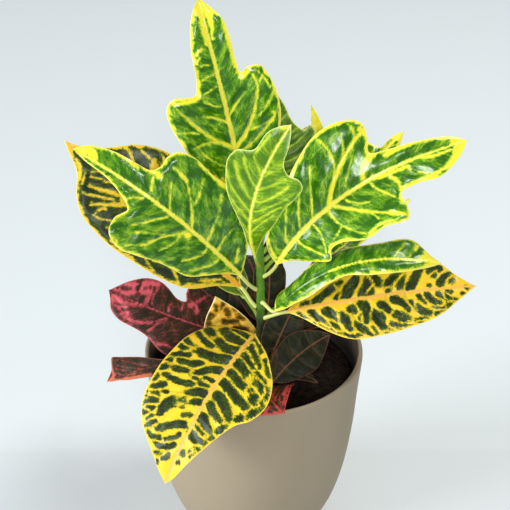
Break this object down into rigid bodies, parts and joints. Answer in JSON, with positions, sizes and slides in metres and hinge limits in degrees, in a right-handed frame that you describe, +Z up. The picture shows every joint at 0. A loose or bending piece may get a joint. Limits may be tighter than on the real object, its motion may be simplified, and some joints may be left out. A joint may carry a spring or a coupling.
{
  "type": "potted croton",
  "caption": "Leafy house plant: variegated lobed leaves on short stalks round one upright stem, in a soil-filled egg-shaped ceramic pot with a flat foot.",
  "frame": {"origin": "centre of the pot's flat foot, on the surface it stands on", "axes": "+Z up along the pot's axis; the plant is seen from -Y, with its right at +X"},
  "size_m": [0.2496, 0.2033, 0.3553],
  "materials": {
    "pot": "matt greige glaze",
    "soil": "dark moist potting soil",
    "stem": "green young bark, brown at its foot",
    "leaf_green": "glossy green leaf with yellow veins and margin",
    "leaf_gold": "glossy dark green leaf with broad golden veins",
    "leaf_dark_red": "glossy dark green and red leaf"
  },
  "bodies": {
    "root": {"pot": "pot", "soil": "soil", "stem": "stem", "leaf_top": "leaf_green", "leaf_upper_left": "leaf_green", "leaf_centre": "leaf_green", "leaf_upper_right": "leaf_green", "leaf_right_arching": "leaf_green", "leaf_right_spread": "leaf_gold", "leaf_front_drooping": "leaf_gold", "leaf_left_dark": "leaf_gold", "leaf_left_red": "leaf_dark_red", "leaf_left_low": "leaf_dark_red", "leaf_small_orange": "leaf_gold", "leaf_behind_stem": "leaf_dark_red", "leaf_inner_dark": "leaf_dark_red", "leaf_low_dark": "leaf_dark_red", "leaf_low_right": "leaf_dark_red", "leaf_front_red": "leaf_dark_red", "leaf_low_wilted": "leaf_dark_red", "leaf_behind_top": "leaf_green", "leaf_narrow_top": "leaf_green", "leaf_behind_right": "leaf_green", "leaf_under_right": "leaf_green", "leaf_back_high": "leaf_green", "leaf_back_left": "leaf_green", "leaf_back_right": "leaf_green", "leaf_low_back_right": "leaf_gold", "leaf_low_back_left": "leaf_dark_red", "leaf_low_back": "leaf_dark_red"}
  },
  "joints": []
}
